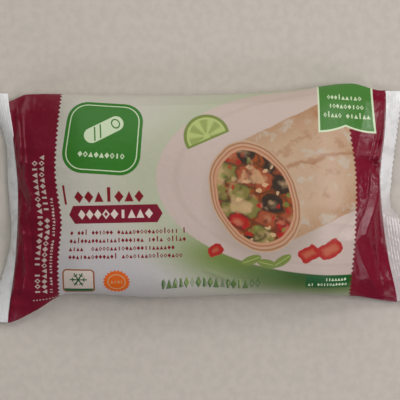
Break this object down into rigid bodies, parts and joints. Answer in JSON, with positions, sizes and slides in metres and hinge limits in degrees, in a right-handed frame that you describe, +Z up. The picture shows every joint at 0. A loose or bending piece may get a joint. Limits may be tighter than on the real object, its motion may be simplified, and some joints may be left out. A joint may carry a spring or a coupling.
{
  "type": "flow-wrapped burrito pack",
  "caption": "Frozen burrito in a shut, printed plastic flow wrap: a low pillow-shaped pack with serrated sealed ends, lying on its back seam with its front up.",
  "frame": {"origin": "middle of the pack's footprint, on the surface it lies on", "axes": "+X along the pack towards its folded end, +Y across it towards the top of the print, +Z up out of the printed front"},
  "size_m": [0.1988, 0.112, 0.027],
  "materials": {
    "film": "thin printed film with a soft gloss, creased and crumpled at the ends"
  },
  "bodies": {
    "root": {"pack": "film"}
  },
  "joints": []
}
